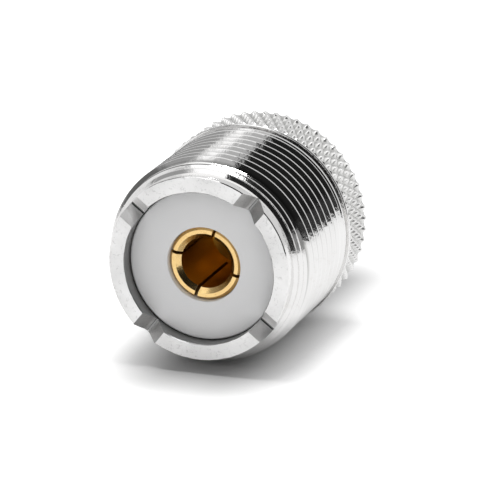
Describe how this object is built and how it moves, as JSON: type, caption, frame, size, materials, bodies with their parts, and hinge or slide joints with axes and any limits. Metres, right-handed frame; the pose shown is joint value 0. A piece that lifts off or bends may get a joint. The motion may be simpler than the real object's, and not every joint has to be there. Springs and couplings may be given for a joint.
{
  "type": "uhf connector",
  "caption": "Coaxial adapter: threaded jack with a notched rim, slotted gold socket in a white insulator, knurled grip ring and a small threaded rear jack.",
  "frame": {"origin": "on the axis, in the plane of the small rear jack's end face, which is the foot that the part stands on", "axes": "+Z along the connector's axis, from the small rear jack up to the notched rim; +X and +Y through the rim's notches"},
  "size_m": [0.0164, 0.0164, 0.0255],
  "materials": {
    "nickel": "bright nickel plate on turned brass, with fine turning marks and a grainy rim face",
    "gold": "gold plate on turned brass, with bright turned edges",
    "insulator": "satin white machined insulator"
  },
  "bodies": {
    "root": {"shell": "nickel", "rear_jack": "nickel", "front_insulator": "insulator", "rear_insulator": "insulator", "front_contact": "gold", "rear_contact": "gold"}
  },
  "joints": []
}
